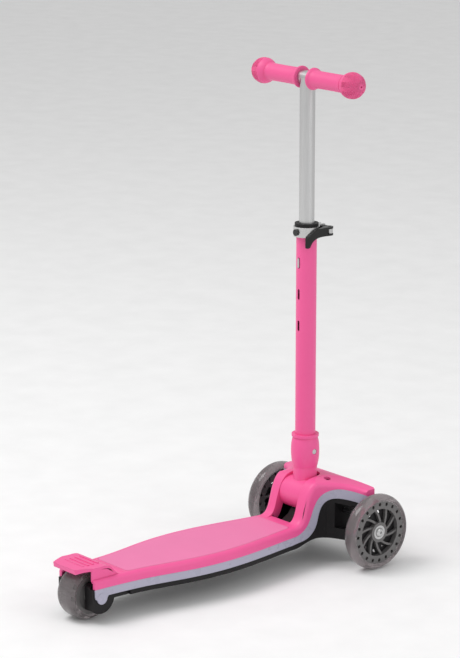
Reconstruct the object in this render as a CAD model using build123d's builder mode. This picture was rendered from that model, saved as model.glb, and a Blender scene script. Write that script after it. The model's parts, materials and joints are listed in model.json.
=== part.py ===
"""Folding three-wheeled kick scooter for a small child.

Two lean-to-steer wheels in front, one wheel with a step-on brake behind, a hollow deck with a light
strip along each side, a column that folds back over the deck, and a T-bar that slides in the column.
Millimetres. +Y is the way it rides, +X its right side, +Z up. The origin is on the ground, in the
middle of the length from the front tyres to the rear tyre.
"""

import os
from math import cos, radians, sin, sqrt

from build123d import *

os.makedirs("parts", exist_ok=True)

# ---------------------------------------------------------------- driving dimensions
wheelbase = 485.0
front_wheel_d = 120.0
front_wheel_w = 24.0
front_track = 231.4
rear_wheel_d = 80.0
rear_wheel_w = 40.0

deck_top = 70.0  # standing surface above the ground
strip_top = 55.6  # where the pink shell ends and the light strip begins
strip_base = 43.2  # where the light strip ends and the black undertray begins
tray_base = 35.8
shell_wall = 3.0
strip_wall = 4.0
shoulder_r = 8.0  # rounding along the top edge of the shell
tread_depth = 1.6
tread_margin = 9.0
tread_corner_r = 8.0
rear_half_width = 44.0
middle_half_width = 67.0
neck_half_width = 47.5
wing_reach = 98.0  # from the centre line to a wing's end

column_setback = 46.0  # column axis behind the front axle
fold_setback = 54.0  # fold axis behind the front axle
fold_height = 106.0
fold_pin_r = 5.0
drum_r = 25.0
fold_slot_w = 47.0  # between the two arms
stub_r = 19.0
collar_base = 150.0
collar_h = 53.0
collar_belly_r = 22.4
tube_r = 16.0  # outer column tube
tube_wall = 1.5
tube_top = 520.0
post_r = 12.0  # sliding inner tube
post_wall = 1.5
post_bottom = 430.0
bar_height = 766.0  # axis of the crossbar
bar_r = 11.0
knob_x = 100.5  # centre of each ball end
knob_r = 20.4
grip_r = 13.6
grip_flange_r = 17.0
grip_gap = 24.0  # bare crossbar between the two grips
height_steps = 3
height_pitch = 50.0
top_button_height = 479.0

kingpin_x = 78.0
kingpin_rise = 12.0  # middle of the kingpin above the front axle
kingpin_lean = 15.0  # degrees, top forward
kingpin_r = 4.0
steer_arm = 16.0
wheel_bolt_r = 4.0
bearing_r = 11.0
bearing_w = 7.0
spoke_count = 10
window_count = 20
rear_window_count = 12

hinge_pin_r = 2.0
pedal_hinge_height = 63.0
hinge_clearance = 5.277  # pedal hinge axis to the rear tyre
pedal_lift = 7.0  # top of the pedal above the rear tyre
brake_gap = 2.6  # brake pad to tyre, pedal up

running_fit = 0.04  # radial, shafts in holes
slide_fit = 0.06  # radial, tube guides
joint_gap = 0.4  # between pieces that move past each other
panel_gap = 0.4  # groove around the tread panel
outline_samples = 24  # points that carry the plan's side curve

# ---------------------------------------------------------------- places that follow from them
footprint = wheelbase + (front_wheel_d + rear_wheel_d) / 2
front_axle_y = (footprint - front_wheel_d) / 2
rear_axle_y = front_axle_y - wheelbase
front_axle_z = front_wheel_d / 2
rear_axle_z = rear_wheel_d / 2
wheel_x = front_track / 2
column_y = front_axle_y - column_setback
fold_y = front_axle_y - fold_setback
hinge_reach = rear_axle_z + hinge_clearance
pedal_hinge_ahead = sqrt(hinge_reach**2 - (pedal_hinge_height - rear_axle_z) ** 2)
pedal_hinge_y = rear_axle_y + pedal_hinge_ahead
deck_end_y = rear_axle_y - 13.0  # rear end of the side cheeks
shell_back_y = pedal_hinge_y + 8.0  # rear wall of the deck's hollow
neck_y = front_axle_y - 106.0  # where the arms start to rise
tip_y = front_axle_y - 4.0  # rear corner of a wing's end
nose_y = front_axle_y + 30.0
button_heights = [top_button_height - i * height_pitch for i in range(height_steps)]
kingpin_height = front_axle_z + kingpin_rise
lean = radians(kingpin_lean)
kingpin_axis = (0, sin(lean), cos(lean))
kingpin_plane = Plane(
    origin=(0, front_axle_y, kingpin_height), x_dir=(1, 0, 0), z_dir=kingpin_axis
)


def finish(piece, name):
    """Label a finished piece and write it under its own name."""
    piece.part.label = name
    export_step(piece.part, f"parts/{name}.step")


def across(y, z, x=0.0):
    """A plane that faces along +X, with its own x along +Y and its own y along +Z."""
    return Plane(origin=(x, y, z), x_dir=(0, 1, 0), z_dir=(1, 0, 0))


def facing_back(x, y, z):
    """A plane that faces backwards: its own x along +X, its own y along +Z."""
    return Plane(origin=(x, y, z), x_dir=(1, 0, 0), z_dir=(0, -1, 0))


def x_axis(y, z):
    """The axis along +X through a point of the side view."""
    return Axis((0, y, z), (1, 0, 0))


def x_cylinder(x0, x1, y, z, r, mode=Mode.ADD):
    """A round bar along X, between two stations."""
    with BuildSketch(across(y, z, x0)) as disc:
        Circle(r)
    extrude(disc.sketch, amount=x1 - x0, mode=mode)


def x_tube(x0, x1, y, z, r, bore):
    """A round tube along X, between two stations."""
    with BuildSketch(across(y, z, x0)) as ring:
        Circle(r)
        Circle(bore, mode=Mode.SUBTRACT)
    extrude(ring.sketch, amount=x1 - x0)


def z_tube(z0, z1, y, r, bore=0.0, mode=Mode.ADD):
    """A round bar or tube standing on the centre line, between two heights."""
    with BuildSketch(Plane(origin=(0, y, z0))) as ring:
        Circle(r)
        if bore:
            Circle(bore, mode=Mode.SUBTRACT)
    extrude(ring.sketch, amount=z1 - z0, mode=mode)


def block(x_span, y_span, z_span, mode=Mode.ADD):
    """A block between three pairs of stations, each given in either order."""
    (x0, x1), (y0, y1), (z0, z1) = (sorted(span) for span in (x_span, y_span, z_span))
    with BuildSketch(Plane(origin=((x0 + x1) / 2, (y0 + y1) / 2, z0))) as base:
        Rectangle(x1 - x0, y1 - y0)
    extrude(base.sketch, amount=z1 - z0, mode=mode)


# ---------------------------------------------------------------- the deck's outer form
def inward(curve, share):
    """The unit normal of a plan curve towards the deck's inside."""
    along = curve % share
    return Vector(-along.Y, along.X)


def mitre(before, after, inset):
    """Where two plan curves meet once both are drawn in by inset."""
    a, b = inward(before, 1), inward(after, 0)
    return (before @ 1) + (a + b) * (inset / (1 + a.dot(b)))


def plan_outline(inset=0.0, height=0.0):
    """The deck, neck and wings seen from above, drawn in by inset, at a height."""
    side = Spline(
        (rear_half_width, deck_end_y),
        (rear_half_width + 2, pedal_hinge_y + 6),
        (rear_half_width + 6, pedal_hinge_y + 46),
        (middle_half_width - 6, pedal_hinge_y + 106),
        (middle_half_width, pedal_hinge_y + 166),
        (middle_half_width - 5, front_axle_y - 200),
        (neck_half_width, neck_y - 4),
        (neck_half_width - 2.5, front_axle_y - 85),
        (neck_half_width - 1.5, front_axle_y - 66),
        (neck_half_width + 6.5, front_axle_y - 42),
        (neck_half_width + 20.5, front_axle_y - 24),
        (wing_reach - 6, front_axle_y - 8),
    )
    corner = Line(side @ 1, (wing_reach, tip_y))
    end = Line(corner @ 1, (wing_reach + 1, front_axle_y + 12))
    nose = Spline(end @ 1, (60, nose_y - 4), (0, nose_y), tangents=[(-1, 0.45), (-1, 0)])
    shares = [i / outline_samples for i in range(1, outline_samples)]
    side_points = [(rear_half_width - inset, deck_end_y + inset)]
    side_points += [(side @ t) + inward(side, t) * inset for t in shares]
    side_points += [mitre(side, corner, inset)]
    nose_points = [mitre(end, nose, inset)]
    nose_points += [(nose @ t) + inward(nose, t) * inset for t in (0.25, 0.5, 0.75)]
    nose_points += [(0, nose_y - inset)]
    with BuildSketch(Plane.XY.offset(height)) as plan:
        with BuildLine():
            Spline(*side_points)
            Polyline(side_points[-1], mitre(corner, end, inset), nose_points[0])
            Spline(*nose_points, tangents=[nose % 0, nose % 1])
            Polyline(nose_points[-1], (0, deck_end_y + inset), side_points[0])
        make_face()
        mirror(about=Plane.YZ)
    return plan.sketch


# Curves of the side view over the neck: (distance ahead of the front axle, height).
skin_rise = [(-106, deck_top), (-92, deck_top + 7), (-86, 92), (-81.5, 107), (-75, 121.5)]
skin_crown = [(-66, 131.5), (-52, 136), (-20, 136), (4, 130), (20, 119), (33, 100)]
strip_rise = [(-112, strip_top), (-96, strip_top + 2), (-80, 68), (-72, 84), (-64, 102)]
strip_crown = [(-56, 112), (-42, 119.5), (-29, 121.5), (-16, 119), (0, 112), (33, 90)]
arch_rise = [(-112, strip_base), (-96, strip_base + 1), (-79, 47.5), (-65, 61), (-60, 77)]
arch_crown = [(-56, 91), (-48, 102), (-35, 106.5), (-22, 105), (-10, 101), (33, 76)]
belly = [(-112, tray_base), (-96, tray_base + 1), (-80, 41), (-62, 44), (-44, 42.5), (33, 42)]
skin_curve = skin_rise + skin_crown
strip_curve = strip_rise + strip_crown
arch_curve = arch_rise + arch_crown


def form_between(upper, lower, upper_z, lower_z, inset=0.0, drop=0.0):
    """The outer form between two side-view curves, level behind the neck, drawn in by inset."""
    with BuildPart() as form:
        extrude(plan_outline(inset), amount=skin_crown[1][1] + 30)
        with BuildSketch(Plane.YZ):
            with BuildLine():
                over = Spline(*[(front_axle_y + y, z - drop) for y, z in upper])
                over_deck = Line((deck_end_y - 20, upper_z - drop), over @ 0)
                under = Spline(*[(front_axle_y + y, z) for y, z in lower])
                under_deck = Line((deck_end_y - 20, lower_z), under @ 0)
                Line(over_deck @ 0, under_deck @ 0)
                Line(over @ 1, under @ 1)
            make_face()
        extrude(amount=wing_reach + 20, both=True, mode=Mode.INTERSECT)
        with BuildSketch(Plane.XZ):
            with BuildLine():
                roof = Spline(
                    (0, 137 - drop),
                    (30, 136.5 - drop),
                    (50, 131.5 - drop),
                    (70, 128 - drop),
                    (wing_reach + 7, 121.5 - drop),
                    tangents=[(1, 0), (1, -0.2)],
                )
                Polyline(roof @ 1, (wing_reach + 7, 0), (0, 0), roof @ 0)
            make_face()
            mirror(about=Plane.YZ)
        extrude(amount=footprint, both=True, mode=Mode.INTERSECT)
    return form.part


level_base = [(-112, 0), (33, 0)]  # a curve below everything, for open-bottomed hollows

# ---------------------------------------------------------------- deck shell (pink)
well_half = 38.4  # half the width of the wheel well between the cheeks
lug_x = 28.5  # inner face of a pedal hinge lug
lug_r = 5.0
tread_back_y = shell_back_y + 5
tread_front_y = neck_y - 6
screw_r = 1.5
screw_head_r = 3.0
screw_x = 24.0
screw_ys = [shell_back_y + 38 + i * 92 for i in range(3)]
truck_screw_r = 2.5
truck_screw_x = 38.0
truck_screw_y = front_axle_y - 33.0
truck_screw_z = 107.2  # where the shell's bosses stand on the truck housing

shell_hollow = form_between(skin_curve, level_base, deck_top, 0, shell_wall, shell_wall + tread_depth)


def tread_form(margin, base, top, grow=0.0):
    """The tread panel's outline between two heights, its ends grown by grow."""
    with BuildPart() as panel:
        extrude(plan_outline(margin, base), amount=top - base)
        block((-100, 100), (tread_back_y - grow, tread_front_y + grow), (base, top), Mode.INTERSECT)
        ends = (tread_back_y - grow, tread_front_y + grow)
        corners = panel.edges().filter_by(
            lambda e: abs((e @ 0).Z - (e @ 1).Z) > 1
            and min(abs((e @ 0).Y - ends[0]), abs((e @ 0).Y - ends[1])) < 0.01
        )
        fillet(corners, tread_corner_r)
    return panel.part


tread_recess = tread_form(tread_margin - panel_gap, deck_top - tread_depth, deck_top + 1, panel_gap)

shell_form = form_between(skin_curve, strip_curve, deck_top, strip_top)

with BuildPart() as slot_walls:
    add(shell_form)
    block((-wing_reach, wing_reach), (front_axle_y - 91, column_y + 10), (0, 131), Mode.INTERSECT)
    block((-fold_slot_w / 2, fold_slot_w / 2), (0, nose_y), (0, 160), Mode.SUBTRACT)
    for side in (-1, 1):
        beyond = (side * (fold_slot_w / 2 + shell_wall), side * (wing_reach + 10))
        block(beyond, (0, nose_y), (0, 160), Mode.SUBTRACT)

with BuildPart() as deck_shell:
    add(shell_form)
    outer_edges = deck_shell.edges().filter_by(
        lambda e: min((e @ 0).Z, (e @ 1).Z) > deck_top - 1
        and abs((e @ 0.5).X) > neck_half_width - 10
        and (e @ 0.5).Y < front_axle_y - 30
        and e.length > 30
    )
    fillet(outer_edges, shoulder_r)
    add(shell_hollow, mode=Mode.SUBTRACT)
    # bosses for the undertray's screws and for the truck housing's
    for side in (-1, 1):
        for y in screw_ys:
            with BuildSketch(Plane(origin=(side * screw_x, y, tray_base + 2.6))) as boss_face:
                Circle(screw_r + 2.5)
            extrude(boss_face.sketch, amount=deck_top - tread_depth - 2 - tray_base - 2.6)
            with BuildSketch(Plane(origin=(side * screw_x, y, tray_base + 2.6))) as boss_hole:
                Circle(screw_r)
            extrude(boss_hole.sketch, amount=deck_top - 8 - tray_base - 2.6, mode=Mode.SUBTRACT)
        boss_foot = Plane(origin=(side * truck_screw_x, truck_screw_y, truck_screw_z))
        with BuildSketch(boss_foot) as truck_boss:
            Circle(truck_screw_r + 3)
        extrude(truck_boss.sketch, amount=130 - truck_screw_z)
        with BuildSketch(boss_foot) as truck_hole:
            Circle(truck_screw_r)
        extrude(truck_hole.sketch, amount=14, mode=Mode.SUBTRACT)
    # walls that close the hollow: behind it, ahead of the wheel well, and beside the fold slot
    block((-well_half, well_half), (shell_back_y, shell_back_y + 3), (strip_top, deck_top - 2))
    add(slot_walls.part)
    for side in (-1, 1):
        # bosses for the fold pin
        boss = sorted((side * fold_slot_w / 2, side * (fold_slot_w / 2 + 13)))
        x_cylinder(*boss, fold_y, fold_height, fold_pin_r + 4.5)
    block((-well_half, well_half), (deck_end_y - 5, shell_back_y), (0, deck_top + 1), Mode.SUBTRACT)
    for side in (-1, 1):
        lug = sorted((side * lug_x, side * (lug_x + 5)))
        block(lug, (pedal_hinge_y, shell_back_y + 1), (strip_top, pedal_hinge_height + lug_r))
        x_cylinder(*lug, pedal_hinge_y, pedal_hinge_height, lug_r)
    x_cylinder(-well_half, well_half, pedal_hinge_y, pedal_hinge_height, hinge_pin_r, Mode.SUBTRACT)
    # the slot that the column folds through, round at the front, and open to below behind the drum
    slot_half = fold_slot_w / 2
    block((-slot_half, slot_half), (front_axle_y - 88, column_y), (30, 160), Mode.SUBTRACT)
    block((-slot_half, slot_half), (neck_y, column_y), (deck_top, 160), Mode.SUBTRACT)
    with BuildSketch(Plane.XY.offset(fold_height)):
        with Locations((0, column_y)):
            Circle(slot_half)
    extrude(amount=50, mode=Mode.SUBTRACT)
    x_cylinder(-slot_half, slot_half, fold_y, fold_height, drum_r + 1, Mode.SUBTRACT)
    x_cylinder(-34, 34, fold_y, fold_height, fold_pin_r, Mode.SUBTRACT)
    # the recess for the tread panel
    add(tread_recess, mode=Mode.SUBTRACT)
finish(deck_shell, "deck_shell")

with BuildPart() as tread_panel:
    add(tread_form(tread_margin, deck_top - tread_depth, deck_top + 0.2))
finish(tread_panel, "tread_panel")

# ---------------------------------------------------------------- light strips, boards and undertray
axle_cap_r = 9.0
strip_tail_t = 2.3
fork_face = rear_half_width - 2.0  # outer face of the black rear fork, under the strips
strip_outer = form_between(strip_curve, arch_curve, strip_top - 0.1, strip_base)
strip_inner = form_between(strip_curve, arch_curve, strip_top - 0.1, strip_base, strip_wall)

with BuildPart() as light_strip_right:
    add(strip_outer)
    add(strip_inner, mode=Mode.SUBTRACT)
    block((0, wing_reach + 10), (deck_end_y - 20, tip_y + 3), (0, 160), Mode.INTERSECT)
    block((0, fork_face + 0.1), (deck_end_y - 20, shell_back_y), (0, 160), Mode.SUBTRACT)
    # the tail that hangs down over the end of the rear axle
    with BuildSketch(across(0, 0, fork_face + 0.1)):
        with BuildLine():
            Polyline(
                (deck_end_y + 0.5, strip_base + 1),
                (deck_end_y + 1, strip_base - 2.5),
                (rear_axle_y - axle_cap_r + 1, strip_base - 5),
                (rear_axle_y + axle_cap_r, strip_base - 4),
                (rear_axle_y + axle_cap_r + 3, strip_base + 1),
                (deck_end_y + 0.5, strip_base + 1),
            )
        make_face()
        with Locations((rear_axle_y, rear_axle_z)):
            Circle(axle_cap_r)
    extrude(amount=strip_tail_t)
finish(light_strip_right, "light_strip_right")

with BuildPart() as light_strip_left:
    mirror(light_strip_right.part, about=Plane.YZ)
finish(light_strip_left, "light_strip_left")

board_gap = 0.5
board_t = 1.2
board_h = 8.0
board_base = strip_base + 3
with BuildPart() as light_boards:
    extrude(plan_outline(strip_wall + board_gap, board_base), amount=board_h)
    extrude(
        plan_outline(strip_wall + board_gap + board_t, board_base),
        amount=board_h,
        mode=Mode.SUBTRACT,
    )
    block((-120, 120), (shell_back_y + 20, front_axle_y - 200), (0, 100), Mode.INTERSECT)
finish(light_boards, "light_boards")

tray_wall = 2.5
tray_rim = strip_wall + board_gap + board_t + 0.05  # how far inside the outline its rim stands
rim_top = strip_top - 1
housing_back_y = front_axle_y - 46.0  # joint face between undertray and truck housing
battery_x = 27.0
battery_y = (screw_ys[1] + 23.5, screw_ys[1] + 83.5)  # between two pairs of screws
rib_t = 2.0
tray_floor = tray_base + tray_wall

with BuildPart() as undertray_rim:
    extrude(plan_outline(tray_rim, tray_base + 1), amount=rim_top - tray_base - 1)
    extrude(
        plan_outline(tray_rim + tray_wall, tray_base + 1),
        amount=rim_top - tray_base - 1,
        mode=Mode.SUBTRACT,
    )
    block((-120, 120), (shell_back_y + 4, neck_y - 10), (0, 100), Mode.INTERSECT)

with BuildPart() as undertray:
    add(form_between(arch_curve, belly, strip_base - 0.1, tray_base))
    block((-120, 120), (shell_back_y + 4, housing_back_y), (0, 160), Mode.INTERSECT)
    # hollow above the floor, with cross ribs, and the rim that stands up inside the light strips
    block((-30, 30), (shell_back_y + 20, neck_y - 20), (tray_floor, 50), Mode.SUBTRACT)
    for rib_y in (shell_back_y + 60, shell_back_y + 106, battery_y[1] + 52, battery_y[1] + 76):
        block((-30, 30), (rib_y, rib_y + rib_t), (tray_base, strip_base))
    add(undertray_rim.part)
    # hollow of the front part, open to the fold slot above
    block((-34, 34), (front_axle_y - 90, front_axle_y - 50), (48, 160), Mode.SUBTRACT)
    x_cylinder(-37, 37, fold_y, fold_height, drum_r + 1.5, Mode.SUBTRACT)
    # opening of the battery compartment, and the screw holes
    block((-battery_x, battery_x), battery_y, (0, tray_floor + 1), Mode.SUBTRACT)
    with BuildSketch(Plane.XY) as holes:
        for side in (-1, 1):
            with Locations(*[(side * screw_x, y) for y in screw_ys]):
                Circle(screw_r)
    extrude(holes.sketch, amount=60, mode=Mode.SUBTRACT)
    with BuildSketch(Plane.XY) as head_seats:
        for side in (-1, 1):
            with Locations(*[(side * screw_x, y) for y in screw_ys]):
                Circle(screw_head_r + 0.3)
    extrude(head_seats.sketch, amount=tray_base + 1.4, mode=Mode.SUBTRACT)
finish(undertray, "undertray")

battery_top = 62.0
with BuildPart() as battery_box:
    block(
        (-battery_x + 0.1, battery_x - 0.1),
        (battery_y[0] + 0.1, battery_y[1] - 0.1),
        (tray_base + 2.1, battery_top),
    )
    block(
        (-battery_x + 2, battery_x - 2),
        (battery_y[0] + 2, battery_y[1] - 2),
        (0, battery_top - 2),
        Mode.SUBTRACT,
    )
finish(battery_box, "battery_box")

cell_r = 5.2
cell_length = 44.5
cell_pitch = 2 * cell_r + 2.5
cell_lift = 12.0  # axis of a cell above the bottom of the cover
with BuildPart() as battery_cells:
    for i in (-1, 0, 1):
        cell_front = (battery_y[0] + battery_y[1] + cell_length) / 2
        with BuildSketch(facing_back(i * cell_pitch, cell_front, tray_base + cell_lift)) as cell_face:
            Circle(cell_r)
        extrude(cell_face.sketch, amount=cell_length)
finish(battery_cells, "battery_cells")

with BuildPart() as battery_cover:
    block(
        (-battery_x + 0.2, battery_x - 0.2),
        (battery_y[0] + 0.2, battery_y[1] - 0.2),
        (tray_base, tray_base + 2),
    )
    for i in (-1, 0, 1):
        saddle = (i * cell_pitch - 3, i * cell_pitch + 3)
        for saddle_y in (battery_y[0] + 16, battery_y[1] - 22):
            block(saddle, (saddle_y, saddle_y + 6), (tray_base, tray_base + cell_lift - cell_r))
finish(battery_cover, "battery_cover")

# ---------------------------------------------------------------- rear fork, axle and brake hinge
fork_inner = rear_wheel_w / 2 + 2.4
fork_mid = well_half - 4.2  # inside the pedal's side skirts
fork_end_r = 24.0
with BuildPart() as rear_fork:
    for side in (-1, 1):
        for x0, x1, top in ((fork_inner, fork_mid, 62.0), (fork_mid, fork_face, strip_top - 0.3)):
            with BuildSketch(across(0, 0, min(side * x0, side * x1))):
                with Locations((rear_axle_y, rear_axle_z)):
                    Circle(fork_end_r)
                with Locations((rear_axle_y, (tray_base + top) / 2)):
                    Rectangle(2 * pedal_hinge_ahead, top - tray_base, align=(Align.MIN, Align.CENTER))
                with Locations((deck_end_y - 3, top / 2)):
                    Rectangle(
                        3 * pedal_hinge_ahead, top, align=(Align.MIN, Align.CENTER), mode=Mode.INTERSECT
                    )
            extrude(amount=x1 - x0)
    bridge = (rear_axle_y + rear_wheel_d / 2 + 2.5, shell_back_y + 3.5)
    block((-fork_face, fork_face), bridge, (tray_base, 54))
    block((-120, 120), (shell_back_y + 3.6, shell_back_y + 90), (0, 100), Mode.SUBTRACT)
    x_cylinder(-fork_face, fork_face, rear_axle_y, rear_axle_z, wheel_bolt_r, Mode.SUBTRACT)
    # head and nut recesses
    x_cylinder(-fork_face, -fork_face + 6, rear_axle_y, rear_axle_z, 7.6, Mode.SUBTRACT)
    x_cylinder(fork_face - 6, fork_face, rear_axle_y, rear_axle_z, 7.6, Mode.SUBTRACT)
    # room for the deck's hinge lugs and the pedal's barrel
    block((-120, 120), (pedal_hinge_y - 7, shell_back_y + 5), (strip_top - 0.5, 100), Mode.SUBTRACT)
    x_cylinder(-well_half, well_half, pedal_hinge_y, pedal_hinge_height, lug_r + 1.2, Mode.SUBTRACT)
finish(rear_fork, "rear_fork")

with BuildPart() as rear_axle_bolt:
    x_cylinder(-fork_face + 1, fork_face - 5.6, rear_axle_y, rear_axle_z, wheel_bolt_r - running_fit)
    x_cylinder(-fork_face + 0.6, -fork_face + 5.6, rear_axle_y, rear_axle_z, 6.5)
finish(rear_axle_bolt, "rear_axle_bolt")

with BuildPart() as rear_axle_nut:
    with BuildSketch(across(rear_axle_y, rear_axle_z, fork_face - 5.6)):
        RegularPolygon(6.5, 6)
    extrude(amount=5)
finish(rear_axle_nut, "rear_axle_nut")

rear_bearing_out = rear_wheel_w / 2 - 3.0
with BuildPart() as rear_axle_spacers:
    for side in (-1, 1):
        ends = sorted((side * (rear_bearing_out + 0.1), side * fork_inner))
        x_tube(*ends, rear_axle_y, rear_axle_z, 6.5, wheel_bolt_r)
finish(rear_axle_spacers, "rear_axle_spacers")

with BuildPart() as pedal_pin:
    x_cylinder(-lug_x - 5, lug_x + 5, pedal_hinge_y, pedal_hinge_height, hinge_pin_r)
finish(pedal_pin, "pedal_pin")

# ---------------------------------------------------------------- brake pedal
rear_wheel_r = rear_wheel_d / 2
pedal_t = 4.0
pedal_top = rear_wheel_d + pedal_lift
pad_t = 2.7
pad_half = 15.0
spring_half = 8.0  # half the room for the return spring on the pin
pedal_tail_y = rear_axle_y - rear_wheel_d / 2 + 2.6
pedal_half = well_half - joint_gap
skirt_t = 3.0
ridge_count = 4
ridge_pitch = 9.0
ridge_half = 22.0
with BuildPart() as brake_pedal:
    with BuildSketch(Plane.YZ):
        with BuildLine():
            upper = Spline(
                (shell_back_y - joint_gap, deck_top),
                (pedal_hinge_y - 8, deck_top + 3),
                (rear_axle_y + 20, pedal_top - 2.5),
                (rear_axle_y, pedal_top + 0.2),
                (rear_axle_y - 20, pedal_top + 1),
                (pedal_tail_y, pedal_top + 0.5),
            )
            lower = Spline(
                (shell_back_y - joint_gap, deck_top - 3.5),
                (pedal_hinge_y - 8, deck_top - 1),
                (rear_axle_y + 20, pedal_top - 2.5 - pedal_t),
                (rear_axle_y, pedal_top + 0.2 - pedal_t),
                (rear_axle_y - 20, pedal_top - pedal_t),
                (pedal_tail_y + 1.5, pedal_top - pedal_t - 3),
            )
            Line(upper @ 0, lower @ 0)
            Line(upper @ 1, lower @ 1)
        make_face()
    extrude(amount=pedal_half, both=True)
    with BuildSketch(Plane.XY):
        with BuildLine():
            Polyline(
                (0, shell_back_y),
                (pedal_half, shell_back_y),
                (pedal_half, rear_axle_y - 12),
                (pedal_half - 12, pedal_tail_y),
                (0, pedal_tail_y),
                (0, shell_back_y),
            )
        make_face()
        mirror(about=Plane.YZ)
    extrude(amount=120, mode=Mode.INTERSECT)
    # side skirts, behind the cheeks of the deck
    for side in (-1, 1):
        with BuildSketch(across(0, 0, min(side * pedal_half, side * (pedal_half - skirt_t)))):
            with BuildLine():
                Polyline(
                    (pedal_hinge_y - 9, deck_top + 2),
                    (pedal_hinge_y - 9, deck_top - 5),
                    (rear_axle_y - 12, strip_top + 8),
                    (rear_axle_y - 14, strip_top + 12),
                    (rear_axle_y - 14, pedal_top - 2),
                    (rear_axle_y + 14, pedal_top - 5),
                    (pedal_hinge_y - 9, deck_top + 2),
                )
            make_face()
        extrude(amount=skirt_t)
    # hinge barrel and the web up to the plate
    barrel = lug_x - joint_gap
    block((-barrel, barrel), (pedal_hinge_y - 4, pedal_hinge_y + 3), (pedal_hinge_height, deck_top - 1))
    x_cylinder(-barrel, barrel, pedal_hinge_y, pedal_hinge_height, lug_r)
    x_cylinder(-barrel, barrel, pedal_hinge_y, pedal_hinge_height, hinge_pin_r + running_fit, Mode.SUBTRACT)
    x_cylinder(-spring_half, spring_half, pedal_hinge_y, pedal_hinge_height, lug_r + 1.0, Mode.SUBTRACT)
    leg_room = pedal_hinge_height + hinge_pin_r + 2.6
    block((-spring_half, spring_half), (pedal_hinge_y - 8, shell_back_y), (60, leg_room), Mode.SUBTRACT)
    for side in (-1, 1):
        lug_room = sorted((side * (lug_x - joint_gap), side * (lug_x + 5 + joint_gap)))
        x_cylinder(*lug_room, pedal_hinge_y, pedal_hinge_height, lug_r + 0.5, Mode.SUBTRACT)
        block(lug_room, (pedal_hinge_y, shell_back_y), (0, pedal_hinge_height + lug_r + 0.5), Mode.SUBTRACT)
    # tread ridges across the plate
    for i in range(ridge_count):
        ridge_y = rear_axle_y + 8 - i * ridge_pitch
        block((-ridge_half, ridge_half), (ridge_y, ridge_y + 3), (pedal_top - 2, pedal_top + 1.6))
    # room for the tyre and for the pad
    x_cylinder(-21, 21, rear_axle_y, rear_axle_z, rear_wheel_r + brake_gap + 0.4, Mode.SUBTRACT)
    pad_back = rear_wheel_r + brake_gap + pad_t
    x_cylinder(-pad_half, pad_half, rear_axle_y, rear_axle_z, pad_back, Mode.SUBTRACT)
finish(brake_pedal, "brake_pedal")

with BuildPart() as brake_pad:
    pad_width = (-pad_half + 0.2, pad_half - 0.2)
    block(pad_width, (rear_axle_y - 20, rear_axle_y + 8), (rear_axle_z + 20, deck_top + 30))
    x_cylinder(-20, 20, rear_axle_y, rear_axle_z, pad_back, Mode.INTERSECT)
    x_cylinder(-20, 20, rear_axle_y, rear_axle_z, rear_wheel_r + brake_gap, Mode.SUBTRACT)
finish(brake_pad, "brake_pad")

wire_r = 0.6
coil_r = hinge_pin_r + wire_r + 0.5
coil_turns = 6
coil_pitch = 2.0
with BuildPart() as pedal_spring:
    # the coil around the pin, then its two straight ends
    coil_x0 = -coil_turns * coil_pitch / 2
    with BuildLine() as coil_line:
        Helix(
            coil_pitch,
            coil_turns * coil_pitch,
            coil_r,
            center=(coil_x0, pedal_hinge_y, pedal_hinge_height),
            direction=(1, 0, 0),
        )
    with BuildSketch(Plane(origin=coil_line.line @ 0, z_dir=coil_line.line % 0)) as wire:
        Circle(wire_r)
    sweep(wire.sketch, path=coil_line.line)
    for end, way, reach in ((coil_line.line @ 0, 1, 7.4), (coil_line.line @ 1, -1, 6.0)):
        with BuildSketch(Plane(origin=end, z_dir=(0, way, 0))) as leg:
            Circle(wire_r)
        extrude(leg.sketch, amount=reach)
finish(pedal_spring, "pedal_spring")

# ---------------------------------------------------------------- front truck
knuckle_low = -21.5  # along the kingpin from its middle
knuckle_high = 17.0
knuckle_r = 9.0
cavity_x = 58.0  # where the knuckle's space begins
rod_r = 3.3
rod_level = 7.3  # along the kingpin from its middle
rod_y = front_axle_y - steer_arm * cos(lean) + rod_level * sin(lean)
rod_z = kingpin_height + steer_arm * sin(lean) + rod_level * cos(lean)
bush_r = 8.0
chamber_r = 9.5
chamber_x = 18.3
collar_x = 3.7
tie_pin_r = 2.46
bolt_bottom_x = 90.0  # inner end of a front wheel bolt
cover_y = (rod_y - 11.5, rod_y + 11.5)
cover_x = 54.0
cover_z = (42.4, 45.0)
cover_screw_spots = [(side * 40, rod_y + shift) for side in (-1, 1) for shift in (-8, 8)]
truck_seat_z = 60.0  # where the heads of the truck screws bear

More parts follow.
